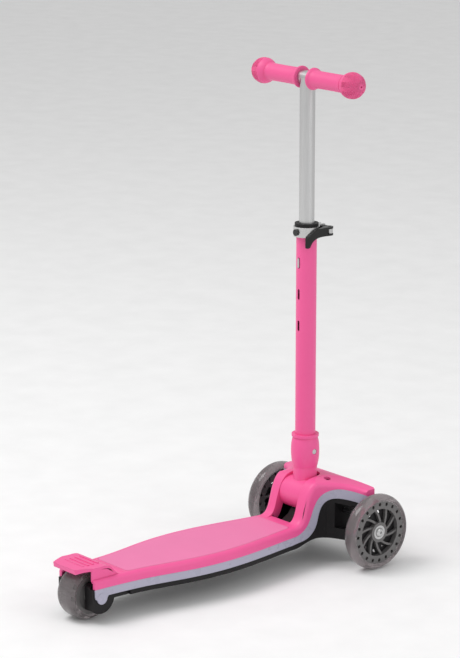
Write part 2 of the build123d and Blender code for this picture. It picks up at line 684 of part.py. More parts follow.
with BuildPart() as truck_housing:
    add(form_between(arch_curve, belly, strip_base - 0.1, tray_base, 0.6, 0.2))
    with BuildPart(mode=Mode.PRIVATE) as nose_part:
        add(form_between(strip_curve, belly, strip_top - 0.1, tray_base, 0.6, 0.2))
        block((-120, 120), (tip_y + 3.4, nose_y + 10), (0, 160), Mode.INTERSECT)
    add(nose_part.part)
    block((-120, 120), (housing_back_y + 0.1, nose_y + 10), (0, 160), Mode.INTERSECT)
    # room for the column's foot
    x_cylinder(-37, 37, fold_y, fold_height, drum_r + 1.5, Mode.SUBTRACT)
    block((-slot_half, slot_half), (housing_back_y, front_axle_y - 24), (98, 160), Mode.SUBTRACT)
    # spaces that the knuckles turn in
    for side in (-1, 1):
        with BuildSketch(kingpin_plane.offset(knuckle_low - joint_gap)) as cavity:
            with Locations((side * (cavity_x + 125) / 2, 0)):
                Rectangle(125 - cavity_x, 180)
        extrude(cavity.sketch, amount=knuckle_high - knuckle_low + 2 * joint_gap, mode=Mode.SUBTRACT)
        with BuildSketch(kingpin_plane.offset(knuckle_low - 12)) as pin_hole:
            with Locations((side * kingpin_x, 0)):
                Circle(kingpin_r)
        extrude(pin_hole.sketch, amount=knuckle_high - knuckle_low + 16.2, mode=Mode.SUBTRACT)
        with BuildSketch(kingpin_plane.offset(knuckle_low - 14)) as kingpin_seat:
            with Locations((side * kingpin_x, 0)):
                Circle(kingpin_r + 3)
        extrude(kingpin_seat.sketch, amount=9.5, mode=Mode.SUBTRACT)
    # chamber for the centring bushes, and the slots the tie rod moves in, open below
    x_cylinder(-chamber_x, chamber_x, rod_y, rod_z, chamber_r, Mode.SUBTRACT)
    block((-chamber_x, chamber_x), (rod_y - chamber_r, rod_y + chamber_r), (0, rod_z), Mode.SUBTRACT)
    x_cylinder(-cavity_x - 1, cavity_x + 1, rod_y, rod_z, rod_r + 1.2, Mode.SUBTRACT)
    block(
        (-cavity_x + 4, cavity_x - 4),
        (rod_y - rod_r - 1.2, rod_y + rod_r + 1.2),
        (0, rod_z),
        Mode.SUBTRACT,
    )
    block((-cover_x, cover_x), cover_y, (0, cover_z[1]), Mode.SUBTRACT)
    with BuildSketch(Plane.XY) as truck_holes:
        for side in (-1, 1):
            with Locations((side * truck_screw_x, truck_screw_y)):
                Circle(truck_screw_r)
    extrude(truck_holes.sketch, amount=160, mode=Mode.SUBTRACT)
    with BuildSketch(Plane.XY) as truck_seats:
        for side in (-1, 1):
            with Locations((side * truck_screw_x, truck_screw_y)):
                Circle(truck_screw_r + 2.4)
    extrude(truck_seats.sketch, amount=truck_seat_z, mode=Mode.SUBTRACT)
    with BuildSketch(Plane.XY) as cover_screw_holes:
        with Locations(*cover_screw_spots):
            Circle(screw_r)
    extrude(cover_screw_holes.sketch, amount=cover_z[0] + 14.5, mode=Mode.SUBTRACT)
finish(truck_housing, "truck_housing")

with BuildPart() as truck_cover:
    block((-cover_x + 0.2, cover_x - 0.2), (cover_y[0] + 0.2, cover_y[1] - 0.2), cover_z)
    with BuildSketch(Plane.XY) as cover_holes:
        with Locations(*cover_screw_spots):
            Circle(screw_r)
    extrude(cover_holes.sketch, amount=60, mode=Mode.SUBTRACT)
finish(truck_cover, "truck_cover")

with BuildPart() as case_screws:
    deck_spots = [(side * screw_x, y, tray_base + 1.4) for side in (-1, 1) for y in screw_ys]
    for spot in deck_spots + [(*spot, cover_z[0]) for spot in cover_screw_spots]:
        with BuildSketch(Plane(origin=spot)) as case_shaft:
            Circle(screw_r)
        extrude(case_shaft.sketch, amount=14)
        with BuildSketch(Plane(origin=spot)) as case_head:
            Circle(screw_head_r)
        extrude(case_head.sketch, amount=-1)
finish(case_screws, "case_screws")

with BuildPart() as truck_screws:
    for side in (-1, 1):
        head_seat = Plane(origin=(side * truck_screw_x, truck_screw_y, truck_seat_z))
        with BuildSketch(head_seat) as truck_shaft:
            Circle(truck_screw_r)
        extrude(truck_shaft.sketch, amount=truck_screw_z + 10 - truck_seat_z)
        with BuildSketch(head_seat) as truck_head:
            Circle(truck_screw_r + 2)
        extrude(truck_head.sketch, amount=-2)
finish(truck_screws, "truck_screws")

with BuildPart() as kingpins:
    for side in (-1, 1):
        with BuildSketch(kingpin_plane.offset(knuckle_low - 7)) as pin_head:
            with Locations((side * kingpin_x, 0)):
                Circle(kingpin_r + 2.6)
        extrude(pin_head.sketch, amount=2.4)
        with BuildSketch(kingpin_plane.offset(knuckle_low - 5)) as pin_shaft:
            with Locations((side * kingpin_x, 0)):
                Circle(kingpin_r - running_fit)
        extrude(pin_shaft.sketch, amount=knuckle_high - knuckle_low + 9)
finish(kingpins, "kingpins")

with BuildPart() as centering_bushes:
    for side in (-1, 1):
        ends = sorted((side * (collar_x + 0.05), side * (chamber_x - 0.05)))
        x_tube(*ends, rod_y, rod_z, bush_r, rod_r + 0.1)
finish(centering_bushes, "centering_bushes")

hub_r = 16.0
spindle_r = 8.5
hub_half = 8.5
front_bolt_r = wheel_bolt_r - running_fit
for side, hand in ((-1, "left"), (1, "right")):
    with BuildPart() as knuckle:
        with BuildSketch(kingpin_plane.offset(knuckle_low)) as knuckle_face:
            with Locations((side * kingpin_x, 0)):
                Circle(knuckle_r)
        extrude(knuckle_face.sketch, amount=knuckle_high - knuckle_low)
        spindle = sorted((side * kingpin_x, side * (wheel_x - hub_half - 0.3)))
        x_cylinder(*spindle, front_axle_y, front_axle_z, spindle_r)
        with BuildSketch(kingpin_plane.offset(knuckle_high - 6.2)) as arm_plan:
            with Locations((side * kingpin_x, -steer_arm / 2)):
                Rectangle(11, steer_arm)
            with Locations((side * kingpin_x, -steer_arm)):
                Circle(5.5)
        extrude(arm_plan.sketch, amount=5.8)
        with BuildSketch(kingpin_plane.offset(knuckle_low)) as knuckle_holes:
            with Locations((side * kingpin_x, 0)):
                Circle(kingpin_r)
            with Locations((side * kingpin_x, -steer_arm)):
                Circle(tie_pin_r + running_fit)
        extrude(knuckle_holes.sketch, amount=knuckle_high - knuckle_low, mode=Mode.SUBTRACT)
        bolt_hole = sorted((side * bolt_bottom_x, side * wheel_x))
        x_cylinder(*bolt_hole, front_axle_y, front_axle_z, front_bolt_r, Mode.SUBTRACT)
    finish(knuckle, f"knuckle_{hand}")

    with BuildPart() as front_bolt:
        shaft = sorted((side * (bolt_bottom_x + 0.5), side * (wheel_x + hub_half + 0.4)))
        x_cylinder(*shaft, front_axle_y, front_axle_z, front_bolt_r)
        # rounded head with a hexagon recess
        head_x = side * (wheel_x + hub_half + 0.3)
        with BuildSketch(facing_back(head_x, front_axle_y, front_axle_z)) as head_form:
            with BuildLine():
                crown = Spline((0, 7.5), (side * 1.6, 6.6), (side * 2.9, 3.6))
                Polyline(crown @ 1, (side * 2.9, 0), (0, 0), (0, 7.5))
            make_face()
        revolve(head_form.sketch, axis=x_axis(front_axle_y, front_axle_z))
        with BuildSketch(across(front_axle_y, front_axle_z, head_x + side * 1.1)) as hex_recess:
            RegularPolygon(2.5, 6)
        extrude(hex_recess.sketch, amount=side * 4, mode=Mode.SUBTRACT)
    finish(front_bolt, f"front_axle_bolt_{hand}")

rod_half = knuckle_high - 6.2 - joint_gap - rod_level  # half the height of a tie rod eye
with BuildPart() as tie_rod:
    x_cylinder(-kingpin_x + 4, kingpin_x - 4, rod_y, rod_z, rod_r)
    x_cylinder(-collar_x, collar_x, rod_y, rod_z, bush_r)
    for side in (-1, 1):
        with BuildSketch(kingpin_plane.offset(rod_level - rod_half)) as eye:
            with Locations((side * kingpin_x, -steer_arm)):
                Circle(5.5)
        extrude(eye.sketch, amount=2 * rod_half)
    for side in (-1, 1):
        with BuildSketch(kingpin_plane.offset(rod_level - 10)) as eye_hole:
            with Locations((side * kingpin_x, -steer_arm)):
                Circle(tie_pin_r)
        extrude(eye_hole.sketch, amount=20, mode=Mode.SUBTRACT)
finish(tie_rod, "tie_rod")

with BuildPart() as tie_pins:
    for side in (-1, 1):
        with BuildSketch(kingpin_plane.offset(rod_level - rod_half)) as tie_pin:
            with Locations((side * kingpin_x, -steer_arm)):
                Circle(tie_pin_r)
        extrude(tie_pin.sketch, amount=knuckle_high - 0.4 - rod_level + rod_half)
finish(tie_pins, "tie_pins")

# ---------------------------------------------------------------- wheels
front_wheel_r = front_wheel_d / 2
tyre_bed_r = 42.0  # inner radius of the tyre
window_r = 50.0  # outer radius of the window band
rim_half = 9.0
spoke_t = 3.2
for side, hand in ((-1, "left"), (1, "right")):
    hub_x = side * wheel_x
    with BuildPart() as core:
        x_cylinder(hub_x - hub_half, hub_x + hub_half, front_axle_y, front_axle_z, hub_r)
        x_tube(hub_x - rim_half, hub_x + rim_half, front_axle_y, front_axle_z, window_r, 38)
        # curved spokes
        with BuildSketch(across(front_axle_y, front_axle_z, hub_x - 6)) as spokes:
            for i in range(spoke_count):
                turn = radians(360 / spoke_count * i)
                inner_end = (14.5 * cos(turn), 14.5 * sin(turn))
                middle = (27 * cos(turn + 0.32), 27 * sin(turn + 0.32))
                outer_end = (39 * cos(turn + 0.52), 39 * sin(turn + 0.52))
                with BuildLine() as spoke_line:
                    ThreePointArc(inner_end, middle, outer_end)
                trace(spoke_line.line, line_width=spoke_t)
        extrude(spokes.sketch, amount=12)
        # windows that the tyre grips through
        with BuildSketch(across(front_axle_y, front_axle_z, hub_x - rim_half)) as windows:
            with PolarLocations((tyre_bed_r + window_r) / 2 - 0.5, window_count):
                SlotOverall(6.0, 5.2)
        extrude(windows.sketch, amount=2 * rim_half, mode=Mode.SUBTRACT)
        # seats for the bearings and the bore between them
        x_cylinder(hub_x - hub_half, hub_x + hub_half, front_axle_y, front_axle_z, 7, Mode.SUBTRACT)
        for outer_end in (hub_x - hub_half, hub_x + hub_half):
            seat = (outer_end, outer_end + bearing_w if outer_end < hub_x else outer_end - bearing_w)
            x_cylinder(*seat, front_axle_y, front_axle_z, bearing_r, Mode.SUBTRACT)
    finish(core, f"front_core_{hand}")

    with BuildPart() as tyre:
        with BuildSketch(facing_back(hub_x, front_axle_y, front_axle_z)) as tyre_form:
            half = front_wheel_w / 2
            with BuildLine():
                tread = ThreePointArc((-half, 53), (0, front_wheel_r), (half, 53))
                bed_edge = tyre_bed_r + 1.5
                Polyline(
                    tread @ 1,
                    (half, bed_edge),
                    (half - 1.5, tyre_bed_r),
                    (1.5 - half, tyre_bed_r),
                    (-half, bed_edge),
                    tread @ 0,
                )
            make_face()
        revolve(tyre_form.sketch, axis=x_axis(front_axle_y, front_axle_z))
        add(core.part, mode=Mode.SUBTRACT)
    finish(tyre, f"front_tyre_{hand}")

    with BuildPart() as bearings:
        for inner in (hub_x - hub_half, hub_x + hub_half - bearing_w):
            x_tube(inner, inner + bearing_w, front_axle_y, front_axle_z, bearing_r, wheel_bolt_r)
        # spacer between them
        between = hub_half - bearing_w - 0.05
        x_tube(hub_x - between, hub_x + between, front_axle_y, front_axle_z, 6.5, wheel_bolt_r)
    finish(bearings, f"front_bearings_{hand}")

rear_half = rear_wheel_w / 2
rear_core_r = 30.0
dish_outer_r = 24.0
dish_inner_r = 13.0
rear_seat = rear_bearing_out - bearing_w
with BuildPart() as rear_core:
    x_cylinder(-rear_half + 1, rear_half - 1, rear_axle_y, rear_axle_z, rear_core_r)
    # dished sides, and the two rows of windows
    for side in (-1, 1):
        dish = sorted((side * (rear_half - 3), side * rear_half))
        with BuildSketch(across(rear_axle_y, rear_axle_z, dish[0])) as dish_ring:
            Circle(dish_outer_r)
            Circle(dish_inner_r, mode=Mode.SUBTRACT)
        extrude(dish_ring.sketch, amount=3, mode=Mode.SUBTRACT)
        for i in range(rear_window_count):
            turn = 360 / rear_window_count * i
            around = Plane(
                origin=(0, rear_axle_y, rear_axle_z),
                x_dir=(1, 0, 0),
                z_dir=(0, cos(radians(turn)), sin(radians(turn))),
            )
            with BuildSketch(around.offset(rear_core_r - 5)) as window:
                with Locations((side * (rear_half - 6.5), 0)):
                    Rectangle(5, 8)
            extrude(window.sketch, amount=8, mode=Mode.SUBTRACT)
    x_cylinder(-rear_half, rear_half, rear_axle_y, rear_axle_z, 7, Mode.SUBTRACT)
    x_cylinder(rear_seat, rear_half, rear_axle_y, rear_axle_z, bearing_r, Mode.SUBTRACT)
    x_cylinder(-rear_half, -rear_seat, rear_axle_y, rear_axle_z, bearing_r, Mode.SUBTRACT)
finish(rear_core, "rear_core")

with BuildPart() as rear_tyre:
    with BuildSketch(facing_back(0, rear_axle_y, rear_axle_z)) as rear_tyre_form:
        with BuildLine():
            tread = Spline(
                (-rear_half, 33),
                (-rear_half + 3, 37),
                (-rear_half + 10, 39.6),
                (0, rear_wheel_r),
                (rear_half - 10, 39.6),
                (rear_half - 3, 37),
                (rear_half, 33),
            )
            Polyline(tread @ 1, (rear_half - 1, rear_core_r), (1 - rear_half, rear_core_r), tread @ 0)
        make_face()
    revolve(rear_tyre_form.sketch, axis=x_axis(rear_axle_y, rear_axle_z))
finish(rear_tyre, "rear_tyre")

with BuildPart() as rear_bearings:
    for side in (-1, 1):
        seat = sorted((side * rear_seat, side * rear_bearing_out))
        x_tube(*seat, rear_axle_y, rear_axle_z, bearing_r, wheel_bolt_r)
    # spacer between them
    x_tube(0.05 - rear_seat, rear_seat - 0.05, rear_axle_y, rear_axle_z, 6.5, wheel_bolt_r)
finish(rear_bearings, "rear_bearings")

# ---------------------------------------------------------------- column
foot_half = fold_slot_w / 2 - joint_gap
spigot_r = tube_r - tube_wall
fold_bush_r = 7.5
collar_screw_z = collar_base + 27
notch_turn = radians(250)
with BuildPart() as column_foot:
    x_cylinder(-foot_half, foot_half, fold_y, fold_height, drum_r)
    with BuildSketch(Plane(origin=(0, column_y, fold_height))) as stub:
        Circle(stub_r)
    extrude(stub.sketch, amount=collar_base - fold_height)
    # spigot inside the tube
    with BuildSketch(Plane(origin=(0, column_y, collar_base))) as spigot:
        Circle(spigot_r)
    extrude(spigot.sketch, amount=44)
    x_cylinder(-foot_half, foot_half, fold_y, fold_height, fold_bush_r, Mode.SUBTRACT)
    # notches that the latch drops into, upright and folded
    for extra in (0, 90):
        at = notch_turn + radians(extra)
        notch_plane = Plane(
            origin=(-10, fold_y, fold_height), x_dir=(0, cos(at), sin(at)), z_dir=(1, 0, 0)
        )
        with BuildSketch(notch_plane) as notch:
            with Locations((drum_r, 0)):
                Rectangle(8, 8)
        extrude(notch.sketch, amount=20, mode=Mode.SUBTRACT)
    # threads for the collar screws
    x_cylinder(-tube_r, tube_r, column_y, collar_screw_z, 2, Mode.SUBTRACT)
finish(column_foot, "column_foot")

with BuildPart() as fold_bushes:
    for side in (-1, 1):
        ends = sorted((side * 8, side * foot_half))
        x_tube(*ends, fold_y, fold_height, fold_bush_r, fold_pin_r)
finish(fold_bushes, "fold_bushes")

with BuildPart() as fold_pin:
    x_cylinder(-33.5, 33.5, fold_y, fold_height, fold_pin_r - running_fit)
finish(fold_pin, "fold_pin")

with BuildPart() as collar:
    with BuildSketch(facing_back(0, column_y, 0)) as collar_form:
        with BuildLine():
            belly_line = Spline(
                (stub_r + 0.2, collar_base),
                (collar_belly_r - 0.8, collar_base + 12),
                (collar_belly_r, collar_base + 27),
                (collar_belly_r - 0.9, collar_base + 40),
                (stub_r + 0.5, collar_base + 48),
            )
            Polyline(
                belly_line @ 1,
                (21.5, collar_base + 49),
                (21.5, collar_base + collar_h),
                (tube_r, collar_base + collar_h),
                (tube_r, collar_base),
                belly_line @ 0,
            )
        make_face()
    revolve(collar_form.sketch, axis=Axis((0, column_y, 0), (0, 0, 1)))
    x_cylinder(-30, 30, column_y, collar_screw_z, 2, Mode.SUBTRACT)
    x_cylinder(-30, -stub_r + 0.2, column_y, collar_screw_z, 4.3, Mode.SUBTRACT)
    x_cylinder(stub_r - 0.2, 30, column_y, collar_screw_z, 4.3, Mode.SUBTRACT)
finish(collar, "collar")

with BuildPart() as collar_screws:
    for side in (-1, 1):
        shaft = sorted((side * 9, side * (stub_r - 0.2)))
        x_cylinder(*shaft, column_y, collar_screw_z, 2)
        head = sorted((side * (stub_r - 0.2), side * (collar_belly_r - 0.6)))
        x_cylinder(*head, column_y, collar_screw_z, 4)
finish(collar_screws, "collar_screws")

slot_h = 17.0  # upright slots that the button shows through
slot_w = 4.5
with BuildPart() as outer_tube:
    z_tube(collar_base, tube_top, column_y, tube_r, spigot_r)
    x_cylinder(-tube_r, tube_r, column_y, collar_screw_z, 2, Mode.SUBTRACT)
    with BuildSketch(facing_back(0, column_y, 0)) as tube_slots:
        with Locations(*[(0, z) for z in button_heights]):
            SlotOverall(slot_h, slot_w, rotation=90)
    extrude(tube_slots.sketch, amount=tube_r + 2, mode=Mode.SUBTRACT)
finish(outer_tube, "outer_tube")

# ---------------------------------------------------------------- clamp at the top of the tube
band_r = 18.0
band_wall = 2.5
band_z = (tube_top + 0.4, tube_top + 16.0)
lip_top = tube_top + 21.0
ear_gap = 3.0
ear_t = 3.5
clamp_bolt_ahead = 27.0  # clamp bolt ahead of the column axis
clamp_bolt_y = column_y + clamp_bolt_ahead
clamp_z = tube_top + 8.0
lever_pin_x = 23.0
lever_pin_r = 2.5
with BuildPart() as clamp_sleeve:
    z_tube(tube_top + 0.2, band_z[1], column_y, band_r, post_r + slide_fit)
    z_tube(band_z[1], lip_top, column_y, band_r + 0.6, post_r + slide_fit)
    z_tube(tube_top - 26, tube_top + 0.2, column_y, spigot_r - 0.05, post_r + slide_fit)
    block((-1, 1), (column_y, column_y + 30), (tube_top + 0.3, lip_top + 1), Mode.SUBTRACT)
    with BuildSketch(facing_back(0, column_y - 14, clamp_z)) as sleeve_hole:
        Circle(2)
    extrude(sleeve_hole.sketch, amount=20, mode=Mode.SUBTRACT)
finish(clamp_sleeve, "clamp_sleeve")

with BuildPart() as clamp_band:
    z_tube(*band_z, column_y, band_r + band_wall)
    block((-ear_gap - ear_t, ear_gap + ear_t), (column_y, column_y + 33), band_z)
    z_tube(*band_z, column_y, band_r, mode=Mode.SUBTRACT)
    block((-ear_gap, ear_gap), (column_y, column_y + 40), band_z, Mode.SUBTRACT)
    x_cylinder(-ear_gap - ear_t, ear_gap + ear_t, clamp_bolt_y, clamp_z, 3, Mode.SUBTRACT)
    with BuildSketch(facing_back(0, column_y - 14, clamp_z)) as band_hole:
        Circle(2)
    extrude(band_hole.sketch, amount=20, mode=Mode.SUBTRACT)
finish(clamp_band, "clamp_band")

with BuildPart() as clamp_screw:
    screw_plane = facing_back(0, column_y - band_r - band_wall, clamp_z)
    with BuildSketch(screw_plane.offset(-5)) as clamp_shaft:
        Circle(2)
    extrude(clamp_shaft.sketch, amount=5)
    with BuildSketch(screw_plane) as clamp_head:
        Circle(5.2)
    extrude(clamp_head.sketch, amount=3.2)
finish(clamp_screw, "clamp_screw")

cam_r = 8.2
saddle_face = lever_pin_x - cam_r - joint_gap
with BuildPart() as clamp_saddle:
    saddle_span = (clamp_bolt_y - 5.5, clamp_bolt_y + 5.5)
    block((ear_gap + ear_t, saddle_face + 4), saddle_span, (clamp_z - 6, clamp_z + 6))
    with BuildSketch(Plane(origin=(lever_pin_x, clamp_bolt_y, 0))) as cam_seat:
        Circle(cam_r + joint_gap)
    extrude(cam_seat.sketch, amount=tube_top + 50, mode=Mode.SUBTRACT)
    x_cylinder(ear_gap, 30, clamp_bolt_y, clamp_z, 3, Mode.SUBTRACT)
finish(clamp_saddle, "clamp_saddle")

eye_half = 3.6
with BuildPart() as clamp_bolt:
    x_cylinder(-ear_gap - ear_t - 6, lever_pin_x, clamp_bolt_y, clamp_z, 3)
    with BuildSketch(Plane(origin=(lever_pin_x, clamp_bolt_y, clamp_z - eye_half))) as bolt_eye:
        Circle(5)
    extrude(bolt_eye.sketch, amount=2 * eye_half)
    with BuildSketch(Plane(origin=(lever_pin_x, clamp_bolt_y, clamp_z - eye_half))) as bolt_eye_hole:
        Circle(lever_pin_r)
    extrude(bolt_eye_hole.sketch, amount=2 * eye_half, mode=Mode.SUBTRACT)
finish(clamp_bolt, "clamp_bolt")

with BuildPart() as clamp_nut:
    with BuildSketch(across(clamp_bolt_y, clamp_z, -ear_gap - ear_t - 4.6)) as nut_face:
        RegularPolygon(5.5, 6)
        Circle(3, mode=Mode.SUBTRACT)
    extrude(nut_face.sketch, amount=4.5)
finish(clamp_nut, "clamp_nut")

lever_half = 6.8
with BuildPart() as lever_pin:
    with BuildSketch(Plane(origin=(lever_pin_x, clamp_bolt_y, clamp_z - lever_half + 1))) as pin_disc:
        Circle(lever_pin_r)
    extrude(pin_disc.sketch, amount=2 * lever_half - 2)
finish(lever_pin, "lever_pin")

lever_inner = 22.0
lever_outer = 27.0
lever_end = radians(-46)  # where the lever ends, round the tube
with BuildPart() as clamp_lever:
    with BuildSketch(Plane(origin=(0, column_y, tube_top - 30))) as lever_plan:
        with BuildLine():
            outer = Spline(
                (lever_outer * cos(lever_end), lever_outer * sin(lever_end)),
                (lever_outer, 0),
                (lever_pin_x + 6, 19),
                (lever_pin_x + 6, clamp_bolt_ahead),
                (lever_pin_x, clamp_bolt_ahead + 7),
            )
            inner = Spline(
                (lever_inner * cos(lever_end), lever_inner * sin(lever_end)),
                (lever_inner + 0.4, 0),
                (lever_inner + 0.5, 9),
            )
            Polyline(
                outer @ 1,
                (lever_pin_x - 5, clamp_bolt_ahead + 5.5),
                (lever_pin_x - cam_r, clamp_bolt_ahead + 2),
                (lever_pin_x - cam_r, clamp_bolt_ahead - 2),
                (lever_pin_x - 5, clamp_bolt_ahead - 8),
                inner @ 1,
            )
            Line(outer @ 0, inner @ 0)
        make_face()
    extrude(lever_plan.sketch, amount=60)
    # side view of the lever: level at the fork, dropping to a rounded thumb end
    with BuildSketch(across(column_y, clamp_z, -10)) as lever_side:
        with BuildLine():
            top_edge = Spline(
                (50, lever_half),
                (30, lever_half),
                (8, lever_half),
                (-4, 4.5),
                (-12, -1.5),
                (-17, -8),
                (-19, -15),
            )
            low_edge = Spline(
                (50, -lever_half),
                (30, -lever_half),
                (12, -lever_half + 0.4),
                (0, -lever_half - 0.8),
                (-6, -10.5),
                (-10, -15.5),
                (-12, -20.5),
            )
            Line(top_edge @ 0, low_edge @ 0)
            ThreePointArc(top_edge @ 1, (-17.2, -22.8), low_edge @ 1)
        make_face()
    extrude(lever_side.sketch, amount=60, mode=Mode.INTERSECT)
    # slot for the bolt's eye, pin hole, and the hollow of the channel
    block(
        (lever_pin_x - 20, lever_pin_x + 6.5),
        (clamp_bolt_y - 9, clamp_bolt_y + 20),
        (clamp_z - eye_half - joint_gap, clamp_z + eye_half + joint_gap),
        Mode.SUBTRACT,
    )
    with BuildSketch(Plane(origin=(lever_pin_x, clamp_bolt_y, clamp_z - 20))) as lever_hole:
        Circle(lever_pin_r + running_fit)
    extrude(lever_hole.sketch, amount=40, mode=Mode.SUBTRACT)
finish(clamp_lever, "clamp_lever")

# ---------------------------------------------------------------- handlebar
with BuildPart() as inner_tube:
    z_tube(post_bottom, bar_height, column_y, post_r, post_r - post_wall)
    x_cylinder(-30, 30, column_y, bar_height, bar_r, Mode.SUBTRACT)
    with BuildSketch(facing_back(0, column_y, top_button_height)) as button_hole:
        SlotOverall(slot_h - 1, slot_w - 0.5, rotation=90)
    extrude(button_hole.sketch, amount=20, mode=Mode.SUBTRACT)
finish(inner_tube, "inner_tube")

with BuildPart() as post_bush:
    z_tube(post_bottom + 1, post_bottom + 15, column_y, spigot_r - 0.05, post_r)
finish(post_bush, "post_bush")

bar_end = knob_x - 14
with BuildPart() as crossbar:
    x_tube(-bar_end, bar_end, column_y, bar_height, bar_r, bar_r - 1.5)
finish(crossbar, "crossbar")

for side, hand in ((-1, "left"), (1, "right")):
    with BuildPart() as grip:
        with BuildSketch(facing_back(0, column_y, bar_height)) as grip_form:
            start = grip_gap / 2
            with BuildLine():
                neck = Spline(
                    (side * (start + 5), grip_r - 0.2),
                    (side * (start + 40), grip_r),
                    (side * (knob_x - 22), grip_r - 0.2),
                    (side * (knob_x - 12), grip_r + 1.2),
                )
                Polyline(
                    neck @ 0,
                    (side * (start + 4), grip_flange_r - 1),
                    (side * (start + 3), grip_flange_r),
                    (side * (start + 0.8), grip_flange_r),
                    (side * start, grip_flange_r - 1),
                    (side * start, 0),
                    (side * (knob_x - 12), 0),
                    neck @ 1,
                )
            make_face()
        revolve(grip_form.sketch, axis=x_axis(column_y, bar_height))
        # ball end, turned about the same axis
        with BuildSketch(facing_back(side * knob_x, column_y, bar_height)) as ball_form:
            with BuildLine():
                ball = ThreePointArc((-knob_r, 0), (0, knob_r), (knob_r, 0))
                Line(ball @ 1, ball @ 0)
            make_face()
        revolve(ball_form.sketch, axis=x_axis(column_y, bar_height))
        bar_room = sorted((0, side * (bar_end + 0.5)))
        x_cylinder(*bar_room, column_y, bar_height, bar_r, Mode.SUBTRACT)
    finish(grip, f"grip_{hand}")

# spring clip with its button, squeezed between finger and tube to change the height
clip_t = 0.9
leaf_y = 8.4  # inner face of the clip's leaf, from the tube's axis
with BuildPart() as snap_clip:
    with BuildSketch(facing_back(0, column_y, top_button_height)) as button:
        SlotOverall(slot_h - 2, slot_w - 1.1, rotation=90)
    extrude(button.sketch, amount=tube_r + 1.2)
    button_room = (top_button_height - slot_h / 2, top_button_height + slot_h / 2)
    z_tube(*button_room, column_y, post_r - post_wall - 0.3, mode=Mode.INTERSECT)
    with BuildSketch(across(column_y, top_button_height, -4.5)) as leaf_side:
        with BuildLine():
            Polyline(
                (-leaf_y, 8),
                (-leaf_y, -16),
                (-1, -34),
                (leaf_y - 0.6, -12),
                (leaf_y - 0.6, 0),
                (leaf_y + clip_t - 0.6, 0),
                (leaf_y + clip_t - 0.6, -12.5),
                (-1, -36.5),
                (-leaf_y - clip_t, -16),
                (-leaf_y - clip_t, 8),
                (-leaf_y, 8),
            )
        make_face()
    extrude(leaf_side.sketch, amount=9)
    with BuildSketch(facing_back(0, column_y - 9, top_button_height)) as button_head:
        SlotOverall(slot_h - 2, slot_w - 1.1, rotation=90)
    extrude(button_head.sketch, amount=tube_r + 1.2 - 9)
finish(snap_clip, "snap_clip")

# ---------------------------------------------------------------- fold latch
latch_y = front_axle_y - 115.5
latch_base = strip_base + 1.4
nose_yz = (fold_y + (drum_r - 0.6) * cos(notch_turn), fold_height + (drum_r - 0.6) * sin(notch_turn))
with BuildPart() as fold_latch:
    with BuildSketch(across(0, 0, -9)) as latch_side:
        with BuildLine():
            Polyline(
                (latch_y - 5, latch_base),
                (latch_y - 5, 62.0),
                (latch_y + 4, 62.0),
                (latch_y + 14, 58.0),
                (latch_y + 42, 74.0),
                (nose_yz[0] - 3.2, nose_yz[1] + 1.0),
                (nose_yz[0] + 3.4, nose_yz[1] - 0.4),
                (nose_yz[0] + 1.0, nose_yz[1] - 10),
                (latch_y + 14, 53.0),
                (latch_y + 4, 55.0),
                (latch_y + 4, latch_base),
                (latch_y - 5, latch_base),
            )
        make_face()
    extrude(latch_side.sketch, amount=18)
finish(fold_latch, "fold_latch")
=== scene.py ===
"""The visual model of a folding three-wheeled kick scooter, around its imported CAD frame.

Metres. +Y is the way it rides, +X its right side, +Z up, the ground at zero.
"""

import json
import math

import bmesh
import bpy
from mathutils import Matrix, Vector


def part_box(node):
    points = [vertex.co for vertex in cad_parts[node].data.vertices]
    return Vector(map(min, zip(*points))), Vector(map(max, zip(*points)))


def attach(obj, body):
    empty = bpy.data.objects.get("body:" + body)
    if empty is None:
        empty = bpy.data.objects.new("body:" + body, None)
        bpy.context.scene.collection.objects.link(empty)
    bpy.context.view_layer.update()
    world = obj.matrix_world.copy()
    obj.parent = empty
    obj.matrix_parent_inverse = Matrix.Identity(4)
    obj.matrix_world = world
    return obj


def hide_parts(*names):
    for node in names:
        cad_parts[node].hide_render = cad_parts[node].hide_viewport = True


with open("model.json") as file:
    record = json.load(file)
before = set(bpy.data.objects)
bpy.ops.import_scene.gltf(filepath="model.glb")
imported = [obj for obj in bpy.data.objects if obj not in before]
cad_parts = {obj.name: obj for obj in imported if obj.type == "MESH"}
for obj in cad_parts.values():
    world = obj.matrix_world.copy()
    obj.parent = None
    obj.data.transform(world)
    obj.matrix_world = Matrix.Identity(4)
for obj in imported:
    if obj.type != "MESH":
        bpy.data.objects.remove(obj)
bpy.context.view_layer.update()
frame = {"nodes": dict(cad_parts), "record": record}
nodes = frame["nodes"]
scene = bpy.context.scene

# ------------------------------------------------------------------ camera
CAMERA_TURN = math.radians(49.7769)
CAMERA_RISE = math.radians(14.0059)
CAMERA_DISTANCE = 4.43625
CAMERA_ASIDE = -0.153509
CAMERA_ABOVE = 0.353154
WHEEL_CENTRE_Y = 0.2325
LENS = 151.551
SENSOR_WIDTH = 36.0
FAR_CLIP = 60.0

back = Vector(
    (
        math.sin(CAMERA_TURN) * math.cos(CAMERA_RISE),
        -math.cos(CAMERA_TURN) * math.cos(CAMERA_RISE),
        math.sin(CAMERA_RISE),
    )
)
right = Vector((math.cos(CAMERA_TURN), math.sin(CAMERA_TURN), 0))
up = back.cross(right)

